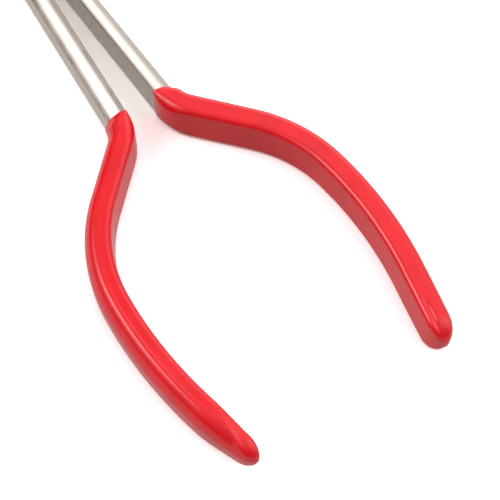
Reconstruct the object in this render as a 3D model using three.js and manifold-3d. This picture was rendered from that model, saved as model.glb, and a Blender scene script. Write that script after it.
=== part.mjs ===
// Long-reach long-nose pliers, 280 mm overall.
//
// Two forgings cross at a riveted half-lap joint. Each one is a jaw, half of the joint, a long half-round
// shank and a tang that bends out into the handle, and each tang wears a dipped vinyl grip. Both halves
// come from one pattern, the left one turned over about the Y axis, and only their bends differ a little.
//
// Frame: millimetres, the pivot on the Z axis, the pliers lying on Z = 0, jaws towards +Y, handles
// towards -Y. Each half is modelled with the pliers shut, its shank along -Y, then turned by halfOpen.

import * as THREE from 'three';
import { LoftGeometry } from 'three/addons/geometries/LoftGeometry.js';
import { mergeVertices } from 'three/addons/utils/BufferGeometryUtils.js';
import Module from 'manifold-3d';

const { clamp, degToRad, lerp, smoothstep } = THREE.MathUtils;
const wasm = await Module();
wasm.setup();

// ---- driving dimensions ---------------------------------------------------------------------------------

// Whole tool
const thickness = 12; // joint and grips, so that the tool lies flat on both
const halfOpen = degToRad(2.3); // each half's turn from shut

// Riveted half-lap joint
const bossRadius = 8.5; // the round lap on each half
const bossChamfer = 0.6;
const lapClearance = 0.3; // between the laps, and round each lap in its recess
const recessChamfer = 0.3;
const shoulderWidth = 1.1; // how far the shoulders stand out past the laps
const shoulderChamfer = 0.5;
const stopAngle = degToRad(43); // how far open the tool is when the shoulders meet
const blockRound = 0.15; // share of the block that its outer rounds take
const rivetRadius = 3;
const rivetHeadFlare = 1.2;
const rivetHeadDepth = 1.2;
const rivetClearance = 0.2;
const rivetHeadRadius = rivetRadius + rivetHeadFlare;
const jointHalfWidth = bossRadius + shoulderWidth;
const shoulderOffset = (jointHalfWidth - shoulderChamfer) * Math.tan(stopAngle / 2);

// Jaws
const jawReach = 77; // pivot to nose tip
const jawFace = 0.15; // tooth crests to the middle plane when shut
const jawThroat = 0.65; // plain face behind the teeth to the middle plane
const jawRootWidth = 8; // the long taper, carried back to the shoulders
const jawRootStep = 0.3; // joint's face down to the taper's root
const jawTipWidth = 2;
const jawTipHeight = 3.6;
const jawTipRound = 1.2;
const jawRound = 0.85; // share of the jaw that its outer rounds take
const jawBevel = 0.2;
const jawBlend = 20; // square shoulders to the rounded taper
const toothPitch = 1.4;
const toothDepth = 0.45;
const toothCount = 26;
const toothSetback = 1.6; // last groove to nose tip
const toothLand = 0.03; // how far the crests are trimmed, so that no sliver is left

// Shanks, about half an ellipse in section
const shankReach = 100; // pivot to where the handles bend out
const shankGap = 2; // between the two flats when shut
const shankWidth = 6.4;
const shankStep = 0.7; // joint's face down to the shank's
const shankRound = 0.98; // share of the shank that its outer rounds take
const shankBevel = 0.3;
const shankBlend = 32; // square shoulders to the plain half-round

// Handles, bent by hand, so that each has its own bow and sweep
const kinkRadius = 11.5;
const kinkAngle = degToRad(40);
const rightHandle = {
  reach: shankReach - 0.5,
  kinkRun: 18.4,
  bowRadius: 42.4,
  bowAngle: degToRad(34.3),
  sweepRadius: 110,
  sweepAngle: degToRad(20),
  endRun: 21.4,
  dipLead: 1.5, // how far the grip reaches up the shank before the kink
  tipTaper: 0.03, // share that the grip slims by towards its end
};
const leftHandle = {
  reach: shankReach + 0.3,
  kinkRun: 18,
  bowRadius: 46.7,
  bowAngle: degToRad(40.2),
  sweepRadius: 123,
  sweepAngle: degToRad(20.1),
  endRun: 9.8,
  dipLead: 0.8,
  tipTaper: 0.24,
};

// Tang inside the grip
const tangWidth = 5.8;
const tangEndWidth = 5.1;
const tangInnerRound = { across: 0.6, up: 0.8 };
const tangOuterRound = { across: 1.4, up: 2 };
const tangBlend = 4.5; // half-round shank to rounded bar
const tangSetback = 7; // end of the tang to the end of the grip
const tangEndRound = 2;

// Dipped grips
const coat = 1;
const mouthCoat = 0.65;
const coatBlend = 4.5; // thin mouth to the full coat
const coatClearance = 0.3; // vinyl to steel
const gripEndRound = 6;
const tipReach = 12; // length of the grip that slims
const shankHeight = thickness - 2 * shankStep;
const tangHeight = thickness - 2 * coat;

// Resolution
const steelSteps = { inner: 1, outer: 8 }; // over each rounded edge of a section
const vinylSteps = { inner: 3, outer: 5 };
const liningSteps = { inner: 3, outer: 8 }; // never inside the steel's own facets
const domeSteps = 5;
const domeTurn = degToRad(86); // just short of a pole
const jointSides = 56;
const throughCut = 1; // how far a cutter runs past what it cuts
const weldDistance = 1e-4;

// ---- solids ---------------------------------------------------------------------------------------------

/** A closed three.js geometry as a manifold solid. */
function solid(geometry) {
  const bare = new THREE.BufferGeometry();
  bare.setAttribute('position', geometry.getAttribute('position'));
  bare.setIndex(geometry.index);
  const merged = mergeVertices(bare, weldDistance);
  const corners = merged.index.array;
  const triVerts = [];
  for (let i = 0; i < corners.length; i += 3) {
    const [a, b, c] = corners.slice(i, i + 3);
    if (a !== b && b !== c && c !== a) triVerts.push(a, b, c);
  }
  const mesh = new wasm.Mesh({
    numProp: 3,
    vertProperties: Float32Array.from(merged.getAttribute('position').array),
    triVerts: Uint32Array.from(triVerts),
  });
  return new wasm.Manifold(mesh);
}

/** A named mesh of a manifold solid. */
function part(name, body, material) {
  const { vertProperties, triVerts } = body.getMesh();
  const geometry = new THREE.BufferGeometry();
  geometry.setAttribute('position', new THREE.BufferAttribute(vertProperties, 3));
  geometry.setIndex(new THREE.BufferAttribute(triVerts, 1));
  geometry.computeVertexNormals();
  const mesh = new THREE.Mesh(geometry, material);
  mesh.name = name;
  return mesh;
}

/** A solid of revolution about Z from [radius, z] corners that start and end on the axis. */
function turned(profile) {
  const corners = profile.map(([radius, z]) => new THREE.Vector2(radius, z));
  return solid(new THREE.LatheGeometry(corners, jointSides).rotateX(Math.PI / 2));
}

/** Corners of a quarter ellipse as [in from the side, down from the top], from the side to the top. */
function quarter({ across, up }, steps) {
  const corners = [];
  for (let i = 0; i <= steps; i++) {
    const angle = (i / steps) * (Math.PI / 2);
    corners.push([across * (1 - Math.cos(angle)), up * (1 - Math.sin(angle))]);
  }
  return corners;
}

/**
 * The outline of a bar's section as [across, up] points, counterclockwise. It is a box with elliptical
 * rounds over its long edges, and inner is where its inner side lies across the route.
 */
function barOutline({ inner, width, height, innerRound, outerRound }, steps) {
  const reach = inner + width;
  const outer = quarter(outerRound, steps.outer).map(([side, top]) => [reach - side, height / 2 - top]);
  const back = quarter(innerRound, steps.inner).map(([side, top]) => [inner + side, height / 2 - top]);
  const upper = [...outer, ...back.reverse()];
  const lower = upper.map(([across, up]) => [across, -up]);
  return [...upper, ...lower.reverse()];
}

/** A bar lofted through stations, its sections upright and square to the route. */
function bar(stations, steps) {
  const rings = stations.map(({ point, tangent, section }) =>
    barOutline(section, steps).map(([across, up]) => new THREE.Vector3(
      point.x - tangent.y * across,
      point.y + tangent.x * across,
      thickness / 2 + up,
    )));
  return solid(new LoftGeometry(rings, { capStart: true, capEnd: true }));
}

/**
 * Stations along straight runs and arcs, drawn from a start point and heading. A move is { run, steps } or
 * { radius, angle, steps }, with angle positive to the left. sectionAt gives the section at a distance.
 */
function route(start, heading, moves, sectionAt) {
  const stations = [];
  const pen = start.clone();
  let direction = heading;
  let distance = 0;
  for (const { run, radius, angle, steps } of moves) {
    let curve;
    if (radius) {
      const side = Math.sign(angle);
      const from = direction - side * Math.PI / 2;
      const centre = new THREE.Vector2(Math.cos(from), Math.sin(from)).multiplyScalar(-radius).add(pen);
      curve = new THREE.EllipseCurve(
        centre.x, centre.y, radius, radius, from, from + angle, side < 0);
      direction += angle;
    } else {
      const end = new THREE.Vector2(Math.cos(direction), Math.sin(direction)).multiplyScalar(run).add(pen);
      curve = new THREE.LineCurve(pen.clone(), end);
    }
    const length = radius ? radius * Math.abs(angle) : run;
    for (let i = stations.length ? 1 : 0; i <= steps; i++) {
      stations.push({
        point: curve.getPoint(i / steps),
        tangent: curve.getTangent(i / steps),
        section: sectionAt(distance + (i / steps) * length),
      });
    }
    distance += length;
    pen.copy(curve.getPoint(1));
  }
  return stations;
}

/** A section at a share of its size. Its inner side stays in its plane if it is flat. */
function scaled(section, share, flatInside) {
  const width = section.width * share;
  return {
    inner: flatInside ? section.inner : section.inner + (section.width - width) / 2,
    width,
    height: section.height * share,
    innerRound: { across: section.innerRound.across * share, up: section.innerRound.up * share },
    outerRound: { across: section.outerRound.across * share, up: section.outerRound.up * share },
  };
}

/** A section grown by a coat on every side, its rounds with it. */
function grown({ inner, width, height, innerRound, outerRound }, skin) {
  return {
    inner: inner - skin,
    width: width + 2 * skin,
    height: height + 2 * skin,
    innerRound: { across: innerRound.across + skin, up: innerRound.up + skin },
    outerRound: { across: outerRound.across + skin, up: outerRound.up + skin },
  };
}

/** A section at a share of the way from one to another. */
function between(from, to, share) {
  const round = (a, b) => ({ across: lerp(a.across, b.across, share), up: lerp(a.up, b.up, share) });
  return {
    inner: lerp(from.inner, to.inner, share),
    width: lerp(from.width, to.width, share),
    height: lerp(from.height, to.height, share),
    innerRound: round(from.innerRound, to.innerRound),
    outerRound: round(from.outerRound, to.outerRound),
  };
}

/** The same stations with a rounded end added. */
function domed(stations, length, flatInside = false) {
  const { point, tangent, section } = stations.at(-1);
  const dome = [];
  for (let i = 1; i <= domeSteps; i++) {
    const angle = (i / domeSteps) * domeTurn;
    dome.push({
      point: tangent.clone().multiplyScalar(length * Math.sin(angle)).add(point),
      tangent,
      section: scaled(section, Math.cos(angle), flatInside),
    });
  }
  return [...stations, ...dome];
}

// ---- sections along each half ---------------------------------------------------------------------------

/** A bar with a flat inner side, bevelled edges there, and outer rounds that take a share of it. */
function flatBacked(inner, width, height, share, bevel) {
  return {
    inner,
    width,
    height,
    innerRound: { across: bevel, up: bevel },
    outerRound: { across: share * (width - bevel), up: share * (height / 2) },
  };
}

/** The shank and joint block, at a distance from the shoulders. The flat stays in one plane. */
function shankSection(distance) {
  const blend = smoothstep(distance, 0, shankBlend);
  const chamfer = Math.max(0, shoulderChamfer - distance);
  const width = lerp(jointHalfWidth - shankGap / 2, shankWidth, blend) - chamfer;
  const height = lerp(thickness, shankHeight, blend) - 2 * chamfer;
  const round = lerp(blockRound, shankRound, Math.sqrt(blend));
  return flatBacked(-shankWidth / 2, width, height, round, shankBevel);
}

/** The tang at a distance from the kink, in a handle of a length. Before the kink it is still shank. */
function tangSection(distance, length) {
  const width = lerp(tangWidth, tangEndWidth, clamp(distance / length, 0, 1));
  const tang = {
    inner: -width / 2,
    width,
    height: tangHeight,
    innerRound: tangInnerRound,
    outerRound: tangOuterRound,
  };
  return between(shankSection(shankBlend), tang, smoothstep(distance, 0, tangBlend));
}

/** The jaw at a distance from the shoulders, measured outwards from the middle plane. */
function jawSection(distance) {
  const along = distance / (jawReach - shoulderOffset);
  const blend = smoothstep(distance, 0, jawBlend);
  const chamfer = Math.max(0, shoulderChamfer - distance);
  const toothStart = jawReach - toothSetback - toothCount * toothPitch - shoulderOffset;
  const inner = lerp(jawThroat, jawFace, smoothstep(distance, toothStart - 2 * toothPitch, toothStart));
  const outside = lerp(jointHalfWidth, lerp(jawRootWidth, jawTipWidth, along), blend) - chamfer;
  const rootHeight = thickness - 2 * jawRootStep;
  const height = lerp(thickness, lerp(rootHeight, jawTipHeight, along), blend) - 2 * chamfer;
  const round = lerp(blockRound, jawRound, Math.sqrt(blend));
  return flatBacked(inner, outside - inner, height, round, jawBevel);
}

// ---- the handles' routes ---------------------------------------------------------------------------------

const shankLine = (shankGap + shankWidth) / 2;
const towardsHandles = -Math.PI / 2;

/** The moves of a handle from its kink on, ending short of its full length by a setback. */
function bends({ kinkRun, bowRadius, bowAngle, sweepRadius, sweepAngle, endRun }, setback) {
  return [
    { radius: kinkRadius, angle: kinkAngle, steps: 7 },
    { run: kinkRun, steps: 2 },
    { radius: bowRadius, angle: -bowAngle, steps: 8 },
    { radius: sweepRadius, angle: -sweepAngle, steps: 5 },
    { run: endRun - setback, steps: 2 },
  ];
}

/** A handle's length from its kink to the end of its grip. */
function handleLength(handle) {
  const lengths = bends(handle, 0).map(({ run, radius, angle }) => run ?? radius * Math.abs(angle));
  return lengths.reduce((sum, length) => sum + length);
}

// ---- pieces ---------------------------------------------------------------------------------------------

/** The zigzag cutter that leaves a row of upright teeth in a jaw's face. */
function toothCutter() {
  const outline = new THREE.Shape();
  const crest = -jawFace - toothLand;
  const end = jawReach - toothSetback;
  outline.moveTo(throughCut, end);
  outline.lineTo(crest, end);
  for (let i = 0; i < toothCount; i++) {
    outline.lineTo(crest - toothDepth, end - (i + 0.5) * toothPitch);
    outline.lineTo(crest, end - (i + 1) * toothPitch);
  }
  outline.lineTo(throughCut, end - toothCount * toothPitch);
  outline.closePath();
  return solid(new THREE.ExtrudeGeometry(outline, { depth: thickness, bevelEnabled: false }));
}

/** One forging: right shank and tang, the upper lap of the joint, and the left jaw. */
function forging(handle) {
  const lapFloor = (thickness + lapClearance) / 2;
  const boss = turned([
    [0, lapFloor], [bossRadius, lapFloor], [bossRadius, thickness - bossChamfer],
    [bossRadius - bossChamfer, thickness], [0, thickness],
  ]);

  const length = handleLength(handle);
  const shank = bar([
    ...route(
      new THREE.Vector2(shankLine, -shoulderOffset), towardsHandles,
      [
        { run: shoulderChamfer, steps: 1 },
        { run: shankBlend - shoulderChamfer, steps: 9 },
        { run: handle.reach - shoulderOffset - shankBlend, steps: 1 },
      ],
      shankSection,
    ),
    ...domed(route(
      new THREE.Vector2(shankLine, -handle.reach), towardsHandles,
      bends(handle, tangSetback + tangEndRound),
      (distance) => tangSection(distance, length),
    ), tangEndRound).slice(1),
  ], steelSteps);

  const jaw = bar(domed(route(
    new THREE.Vector2(0, shoulderOffset), -towardsHandles,
    [
      { run: shoulderChamfer, steps: 1 },
      { run: jawReach - shoulderOffset - shoulderChamfer - jawTipRound, steps: 16 },
    ],
    jawSection,
  ), jawTipRound, true), steelSteps);

  const recessRadius = bossRadius + lapClearance;
  const recess = turned([
    [0, -throughCut], [recessRadius + recessChamfer + throughCut, -throughCut], [recessRadius, recessChamfer],
    [recessRadius, lapFloor], [0, lapFloor],
  ]);
  const holeRadius = rivetRadius + rivetClearance;
  const countersink = rivetHeadRadius + rivetClearance;
  const rivetHole = turned([
    [0, -throughCut], [holeRadius, -throughCut], [holeRadius, thickness - rivetHeadDepth],
    [countersink, thickness], [countersink, thickness + throughCut], [0, thickness + throughCut],
  ]);
  return shank.add(jaw).subtract(recess).add(boss).subtract(rivetHole).subtract(toothCutter());
}

/** The dipped sleeve on one tang, open at its mouth. */
function grip(handle) {
  const length = handleLength(handle);
  const full = handle.dipLead + length;
  const outsideAt = (distance) => {
    const pastKink = distance - handle.dipLead;
    const thin = grown(tangSection(pastKink, length), mouthCoat);
    const thick = grown(tangSection(Math.max(pastKink, tangBlend), length), coat);
    const growing = 1 - clamp(1 - distance / coatBlend, 0, 1) ** 2;
    const slimmed = 1 - handle.tipTaper * smoothstep(distance, full - tipReach, full);
    return scaled(between(thin, thick, growing), slimmed, false);
  };
  const outside = bar(domed(route(
    new THREE.Vector2(shankLine, handle.dipLead - handle.reach), towardsHandles,
    [{ run: handle.dipLead, steps: 2 }, ...bends(handle, gripEndRound)],
    outsideAt,
  ), gripEndRound), vinylSteps);
  const inside = bar(domed(route(
    new THREE.Vector2(shankLine, handle.dipLead + throughCut - handle.reach), towardsHandles,
    [{ run: handle.dipLead + throughCut, steps: 1 }, ...bends(handle, tangSetback + tangEndRound)],
    (distance) => grown(tangSection(distance - handle.dipLead - throughCut, length), coatClearance),
  ), tangEndRound + coatClearance), liningSteps);
  return outside.subtract(inside);
}

/** The rivet, its two heads flush in their countersinks. */
function rivet() {
  return turned([
    [0, 0], [rivetHeadRadius, 0], [rivetRadius, rivetHeadDepth],
    [rivetRadius, thickness - rivetHeadDepth], [rivetHeadRadius, thickness], [0, thickness],
  ]);
}

// ---- assembly -------------------------------------------------------------------------------------------

const nickel = new THREE.MeshStandardMaterial({ color: 0xb8b0a6, roughness: 0.34, metalness: 1 });
const rivetSteel = new THREE.MeshStandardMaterial({ color: 0xa39c94, roughness: 0.28, metalness: 1 });
const redVinyl = new THREE.MeshStandardMaterial({ color: 0xd8202a, roughness: 0.36, metalness: 0 });

const rightSide = new THREE.Group();
rightSide.rotation.z = halfOpen;
rightSide.add(
  part('right_half', forging(rightHandle), nickel),
  part('right_grip', grip(rightHandle), redVinyl),
);

const turnedOver = new THREE.Group();
turnedOver.rotation.y = Math.PI;
turnedOver.position.z = thickness;
turnedOver.add(
  part('left_half', forging(leftHandle), nickel),
  part('left_grip', grip(leftHandle), redVinyl),
);
const leftSide = new THREE.Group();
leftSide.rotation.z = -halfOpen;
leftSide.add(turnedOver);

const pliers = new THREE.Group();
pliers.add(rightSide, leftSide, part('pivot_rivet', rivet(), rivetSteel));

export default pliers;
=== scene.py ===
"""Long-reach long-nose pliers: two riveted forgings with dipped vinyl grips, on their CAD frame.

Everything is in metres in the part's own frame: the pivot stands on the Z axis, the pliers lie on
Z = 0, the jaws point to +Y and the handles to -Y. Each half is modelled shut, as the right half,
and then placed.
"""

from __future__ import annotations

import logging
import math
from collections.abc import Callable, Iterable
from dataclasses import dataclass, field, replace
from enum import Enum

import bmesh
import bpy
from bmesh.types import BMEdge, BMesh, BMVert
from bpy.types import Material, Node, NodeSocket, Object, World
from mathutils import Matrix, Vector


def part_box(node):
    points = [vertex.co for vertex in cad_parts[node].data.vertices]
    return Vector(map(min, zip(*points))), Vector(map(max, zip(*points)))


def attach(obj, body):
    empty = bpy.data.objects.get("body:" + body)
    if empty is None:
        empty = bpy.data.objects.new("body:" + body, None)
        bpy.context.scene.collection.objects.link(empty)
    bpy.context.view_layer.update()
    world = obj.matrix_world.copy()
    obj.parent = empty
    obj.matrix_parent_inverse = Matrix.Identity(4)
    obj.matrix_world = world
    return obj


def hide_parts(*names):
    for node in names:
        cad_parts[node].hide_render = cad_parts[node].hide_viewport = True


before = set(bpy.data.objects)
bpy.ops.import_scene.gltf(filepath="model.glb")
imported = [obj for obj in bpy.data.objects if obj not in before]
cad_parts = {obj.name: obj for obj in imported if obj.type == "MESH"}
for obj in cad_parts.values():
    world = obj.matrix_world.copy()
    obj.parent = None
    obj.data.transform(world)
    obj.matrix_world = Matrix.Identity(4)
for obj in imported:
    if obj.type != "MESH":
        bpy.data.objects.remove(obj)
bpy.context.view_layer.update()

MM = 0.001
QUARTER_TURN = 0.5 * math.pi
ELLIPSE = 2.0  # the power of an elliptical round
WELD = 0.0005 * MM  # corners closer than this become one
PAINTED_EDGE_SHADE = "painted_edge_shade"  # the attribute that marks a forging's inner-edge bevels, where shade is painted
EDGE_SHADE_COLOUR = (0.22, 0.18, 0.15)  # the colour of the shade painted on those bevels
Relief = Callable[[float, float, float], float]  # from a distance, a place across and a height
log = logging.getLogger("pliers")


# ---- small helpers ----


def lerp(start: float, end: float, share: float) -> float:
    """The value a share of the way from start to end."""
    return start + (end - start) * share


def smoothstep(value: float, low: float, high: float) -> float:
    """Rises smoothly from 0 at low to 1 at high."""
    share = min(max((value - low) / (high - low), 0.0), 1.0)
    return share * share * (3.0 - 2.0 * share)


def direction(azimuth: float, elevation: float) -> Vector:
    """The unit vector towards a place in the room.

    Args:
        azimuth: The angle round the object, from -Y towards +X, in degrees.
        elevation: The angle above the floor, in degrees.

    Returns:
        The vector.
    """
    around, above = math.radians(azimuth), math.radians(elevation)
    level = math.cos(above)
    return Vector((math.sin(around) * level, -math.cos(around) * level, math.sin(above)))


def spaced(length: float, step: float) -> list[float]:
    """Distances from 0 to length, evenly spaced by about one step.

    Args:
        length: The whole distance to cover.
        step: The spacing aimed at.

    Returns:
        The distances, both ends included.
    """
    count = max(1, round(length / step))
    return [length * index / count for index in range(count + 1)]


# ---- the two halves ----


class Side(Enum):
    """The half of the pliers that a piece belongs to, named by its handle."""

    RIGHT = "right"
    LEFT = "left"

    @property
    def body(self) -> str:
        """The CAD body that this half's pieces ride on."""
        return f"{self.value}_side"


@dataclass(frozen=True)
class Whole:
    """Sizes that both halves share.

    Attributes:
        thickness: The height of the joint and the grips.
        half_open: How far each half is turned from shut.
        jaw_reach: The distance from the pivot to the tip of the nose.
    """

    thickness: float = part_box("pivot_rivet")[1].z
    half_open: float = math.radians(2.3)
    jaw_reach: float = 77 * MM

    @property
    def mid_height(self) -> float:
        """The height of the middle."""
        return 0.5 * self.thickness

    def placement(self, side: Side) -> Matrix:
        """Where a half modelled shut, as the right one, belongs at rest.

        Args:
            side: The half to place.

        Returns:
            The matrix that places it. The left half is the right one turned over.
        """
        if side is Side.RIGHT:
            return Matrix.Rotation(self.half_open, 4, "Z")
        turned_over = Matrix.Translation((0, 0, self.thickness)) @ Matrix.Rotation(math.pi, 4, "Y")
        return Matrix.Rotation(-self.half_open, 4, "Z") @ turned_over


WHOLE = Whole()


# ---- sections and routes ----


@dataclass(frozen=True)
class Section:
    """An upright section of a bar: a box with elliptical rounds over its long edges.

    Attributes:
        inner: Where the inner side lies across the route.
        width: The size across the route.
        height: The upright size.
        inner_round: The rounds of the two inner corners, across and up.
        outer_round: The round of the upper outer corner, across and up.
        under_round: The round of the lower outer corner, across and up.
        outer_power: How full the upper outer round is: 2 for an ellipse, less for a flatter flank.
        under_power: The same for the lower one.
    """

    inner: float
    width: float
    height: float
    inner_round: Vector
    outer_round: Vector
    under_round: Vector
    outer_power: float = ELLIPSE
    under_power: float = ELLIPSE

    @property
    def middle(self) -> float:
        """Where the middle lies across the route."""
        return self.inner + 0.5 * self.width

    @property
    def turned_over(self) -> Section:
        """The section with its underside up."""
        return replace(self, outer_round=self.under_round, under_round=self.outer_round,
                       outer_power=self.under_power, under_power=self.outer_power)

    def grown(self, inside: float, outside: float, over: float) -> Section:
        """The section with a coat on it.

        Args:
            inside: The coat on the inner side.
            outside: The coat on the outer side.
            over: The coat on the top and on the bottom.

        Returns:
            The coated section, its rounds grown with it.
        """
        inwards, outwards = Vector((inside, over)), Vector((outside, over))
        return replace(
            self, inner=self.inner - inside, width=self.width + inside + outside,
            height=self.height + 2 * over, inner_round=self.inner_round + inwards,
            outer_round=self.outer_round + outwards, under_round=self.under_round + outwards)

    def shrunk(self, share: float, flat_inside: bool) -> Section:
        """The section at a share of its size.

        Args:
            share: The share of the size that is left.
            flat_inside: Whether the inner side stays in its plane. Otherwise the middle stays.

        Returns:
            The smaller section.
        """
        width = self.width * share
        return replace(
            self, inner=self.inner if flat_inside else self.middle - 0.5 * width, width=width,
            height=self.height * share, inner_round=self.inner_round * share,
            outer_round=self.outer_round * share, under_round=self.under_round * share)

    def blended(self, other: Section, share: float) -> Section:
        """A section between this one and another, at a share of the way to it."""
        sizes = zip(vars(self).values(), vars(other).values())
        return Section(*(own.lerp(its, share) if isinstance(own, Vector) else lerp(own, its, share)
                         for own, its in sizes))


@dataclass(frozen=True)
class Outline:
    """How many steps each stretch of a section's upper half takes, from inner to outer middle.

    Attributes:
        inner_side: The steps up the inner side.
        inner_round: The steps over the inner round.
        top: The steps across the top.
        outer_round: The steps over the outer round.
        outer_side: The steps down the outer side.
    """

    inner_side: int
    inner_round: int
    top: int
    outer_round: int
    outer_side: int

    @property
    def half(self) -> int:
        """The steps of the upper half."""
        return self.inner_side + self.inner_round + self.top + self.outer_round + self.outer_side

    def corner(self, section: Section, step: int) -> tuple[float, float]:
        """A corner of a section's outline.

        Args:
            section: The section.
            step: How many steps round from the middle of the inner side, by the top.

        Returns:
            The corner across the route and up from the section's middle.
        """
        half = self.half
        if step > half:
            across, up = self.corner(section.turned_over, 2 * half - step)
            return across, -up
        inner_across, inner_up = section.inner_round
        outer_across, outer_up = section.outer_round
        reach, rise = section.inner + section.width, 0.5 * section.height
        if step <= self.inner_side:
            return section.inner, (rise - inner_up) * step / self.inner_side
        step -= self.inner_side
        if step <= self.inner_round:
            angle = QUARTER_TURN * step / self.inner_round
            return (section.inner + inner_across * (1.0 - math.cos(angle)),
                    rise - inner_up * (1.0 - math.sin(angle)))
        step -= self.inner_round
        if step <= self.top:
            start, end = section.inner + inner_across, reach - outer_across
            return lerp(start, end, step / self.top), rise
        step -= self.top
        if step <= self.outer_round:
            angle, fullness = QUARTER_TURN * step / self.outer_round, 2.0 / section.outer_power
            return (reach - outer_across * (1.0 - math.sin(angle) ** fullness),
                    rise - outer_up * (1.0 - max(math.cos(angle), 0.0) ** fullness))
        step -= self.outer_round
        return reach, (rise - outer_up) * (1.0 - step / self.outer_side)

    def outwards(self, section: Section, step: int) -> Vector:
        """The direction out of a section's outline at one of its corners.

        Args:
            section: The section.
            step: The corner, counted as above.

        Returns:
            The direction across the route and up.
        """
        ring = 2 * self.half
        before = Vector(self.corner(section, (step - 1) % ring))
        after = Vector(self.corner(section, (step + 1) % ring))
        along = after - before
        return Vector((-along.y, along.x)).normalized()


@dataclass(frozen=True)
class Bend:
    """A stretch of a route: a straight run where the angle is 0, otherwise an arc.

    Attributes:
        length: The distance along the stretch.
        angle: How far the heading turns to the left over the stretch.
    """

    length: float
    angle: float = 0.0

    @classmethod
    def arc(cls, radius: float, degrees: float) -> Bend:
        """An arc of a radius, turning left by so many degrees."""
        angle = math.radians(degrees)
        return cls(radius * abs(angle), angle)


@dataclass(frozen=True)
class Route:
    """A flat line of runs and arcs that a bar follows.

    Attributes:
        start: The point where the route starts, in the plane.
        heading: The direction at the start, in radians from +X.
        bends: The stretches, in order.
    """

    start: Vector
    heading: float
    bends: tuple[Bend, ...]

    @property
    def length(self) -> float:
        """The distance from end to end."""
        return sum(bend.length for bend in self.bends)

    def at(self, distance: float) -> tuple[Vector, Vector]:
        """The point and the direction at a distance.

        Args:
            distance: How far along the route.

        Returns:
            The point and the unit tangent there.
        """
        point, heading, left = self.start.copy(), self.heading, distance
        for bend in self.bends:
            reach = min(left, bend.length)
            if bend.angle:
                radius = bend.length / bend.angle
                turned = heading + reach / radius
                point += radius * Vector((math.sin(turned) - math.sin(heading),
                                          math.cos(heading) - math.cos(turned)))
                heading = turned
            else:
                point += reach * Vector((math.cos(heading), math.sin(heading)))
            left -= bend.length
            if left <= 0.0:
                break
        return point, Vector((math.cos(heading), math.sin(heading)))


# ---- lofted skins ----


class Loft:
    """A skin drawn along a route at the pliers' middle height, ring by ring."""

    def __init__(self, route: Route, outline: Outline) -> None:
        """Starts an empty skin.

        Args:
            route: The line that the rings stand square on.
            outline: The steps round each ring.
        """
        self.bm = bmesh.new()
        self.route = route
        self.outline = outline
        self.step = self.bm.verts.layers.int.new("step")
        self.first = bmesh.ops.create_circle(
            self.bm, cap_ends=False, segments=2 * outline.half, radius=1.0)["verts"]
        for index, vert in enumerate(self.first):
            vert[self.step] = index
        self.ring: list[BMVert] = []

    def draw(self, distance: float, section: Section, relief: Relief | None = None) -> None:
        """Adds the ring at a distance, joined to the last one.

        Args:
            distance: How far along the route the ring stands.
            section: Its outline.
            relief: How far the surface stands out of its sections, if it isn't plain.
        """
        if self.ring:
            made = bmesh.ops.extrude_edge_only(self.bm, edges=self.rim())["geom"]
            self.ring = [item for item in made if isinstance(item, BMVert)]
        else:
            self.ring = self.first
        point, tangent = self.route.at(distance)
        side = Vector((-tangent.y, tangent.x))
        for vert in self.ring:
            across, up = self.outline.corner(section, vert[self.step])
            if relief:
                out = self.outline.outwards(section, vert[self.step])
                height = relief(distance, across, up)
                across, up = across + out.x * height, up + out.y * height
            x, y = point.x + side.x * across, point.y + side.y * across
            vert.co = (x, y, WHOLE.mid_height + up)

    def rim(self) -> list[BMEdge]:
        """Finds the edges of the last ring.

        Returns:
            The edges.
        """
        ring = set(self.ring)
        return [edge for edge in {edge for vert in self.ring for edge in vert.link_edges}
                if edge.verts[0] in ring and edge.verts[1] in ring]

    def dome(self, distance: float, depth: float, section: Section, steps: int,
             flat_inside: bool = False, relief: Relief | None = None,
             opening: bool = False) -> None:
        """Rounds the skin off to a pole.

        Args:
            distance: Where the rounding starts.
            depth: How far it reaches.
            section: The outline where it starts.
            steps: The number of rings that it takes.
            flat_inside: Whether the inner side stays in its plane.
            relief: How far the surface stands out of its sections, if it isn't plain.
            opening: Whether the skin starts at the pole instead.
        """
        turns = range(1, steps + 1)
        for index in reversed(turns) if opening else turns:
            angle = QUARTER_TURN * index / steps
            smaller = section.shrunk(math.cos(angle) if index < steps else 0.0, flat_inside)
            self.draw(distance + depth * math.sin(angle), smaller, relief)

    def fill_start(self) -> None:
        """Fills the first ring with one face."""
        bmesh.ops.contextual_create(self.bm, geom=self.first)


def welded(bm: BMesh) -> BMesh:
    """Joins a mesh's corners that coincide and turns every face outwards.

    Args:
        bm: The mesh.

    Returns:
        The same mesh.
    """
    bmesh.ops.remove_doubles(bm, verts=bm.verts, dist=WELD)
    bmesh.ops.dissolve_degenerate(bm, edges=bm.edges, dist=WELD)
    bmesh.ops.recalc_face_normals(bm, faces=bm.faces)
    return bm


def revolved(profile: Iterable[tuple[float, float]], sides: int) -> BMesh:
    """A solid turned about the Z axis.

    Args:
        profile: The radius and height of each corner, from axis to axis.
        sides: The number of steps round.

    Returns:
        The solid's mesh.
    """
    bm = bmesh.new()
    corners = [bm.verts.new((radius, 0.0, height)) for radius, height in profile]
    edges = [bm.edges.new(pair) for pair in zip(corners, corners[1:])]
    bmesh.ops.spin(bm, geom=corners + edges, cent=(0, 0, 0), axis=(0, 0, 1), angle=math.tau,
                   steps=sides, use_merge=True, use_duplicate=False)
    return welded(bm)


def as_object(bm: BMesh, name: str) -> Object:
    """Puts a mesh into the scene as an object of its own, and frees it.

    Args:
        bm: The mesh.
        name: The object's name.

    Returns:
        The object.
    """
    mesh = bpy.data.meshes.new(name)
    bm.to_mesh(mesh)
    bm.free()
    piece = bpy.data.objects.new(name, mesh)
    bpy.context.scene.collection.objects.link(piece)
    return piece


class Cut(Enum):
    """How one solid changes another."""

    ADD = "UNION"
    TAKE_AWAY = "DIFFERENCE"


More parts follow.
